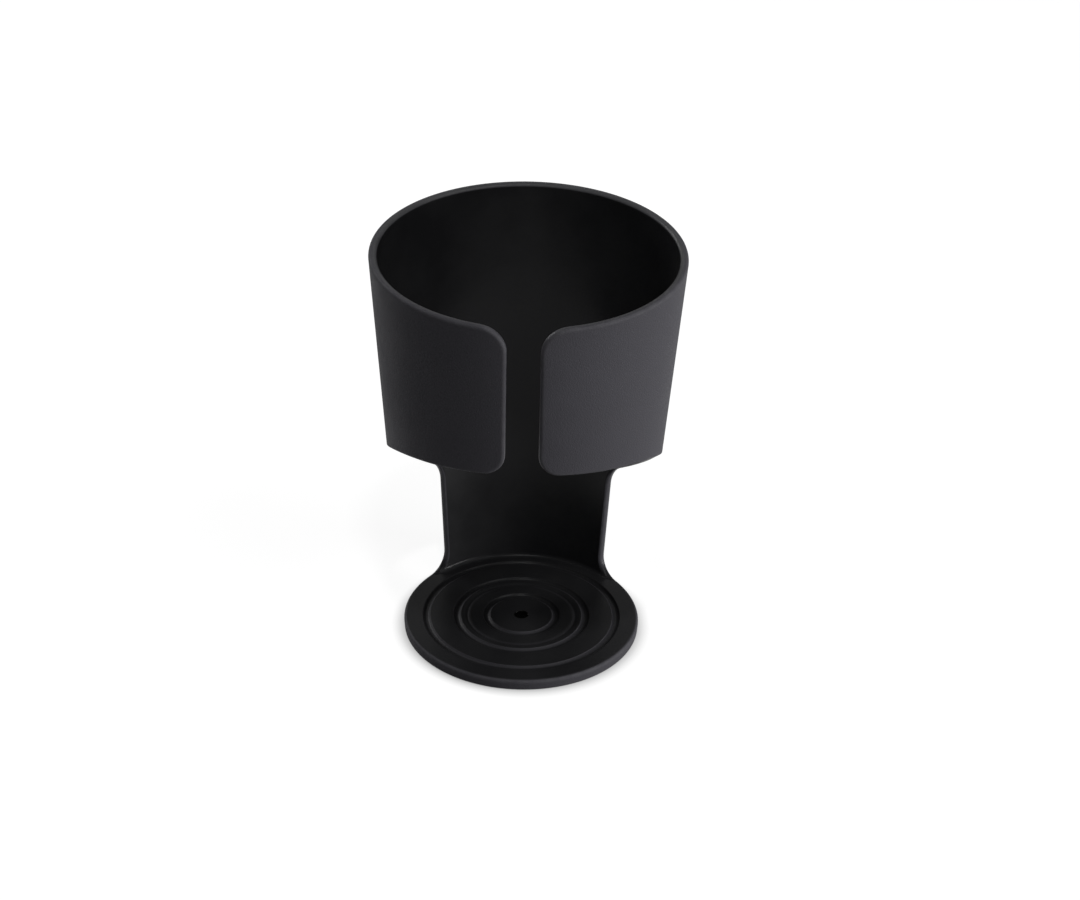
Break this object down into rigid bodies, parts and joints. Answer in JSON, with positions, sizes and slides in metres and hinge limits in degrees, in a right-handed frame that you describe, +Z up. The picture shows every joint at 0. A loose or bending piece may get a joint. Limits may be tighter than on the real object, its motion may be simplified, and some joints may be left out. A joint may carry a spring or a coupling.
{
  "type": "cup holder",
  "caption": "Open drop-in cup holder: a round grooved foot, a curved spine up one side and a tapered ring at the top with a slit that faces the handle or the user.",
  "frame": {"origin": "centre of the foot's resting face, where the hole comes out", "axes": "+Z up along the cone's axis, from the foot to the rim; the slit faces -Y and the spine stands on the +Y side"},
  "size_m": [0.091, 0.0904, 0.1265],
  "materials": {
    "cup_holder": "satin black moulded plastic with a very fine grain"
  },
  "bodies": {
    "root": {"cup_holder": "cup_holder"}
  },
  "joints": []
}
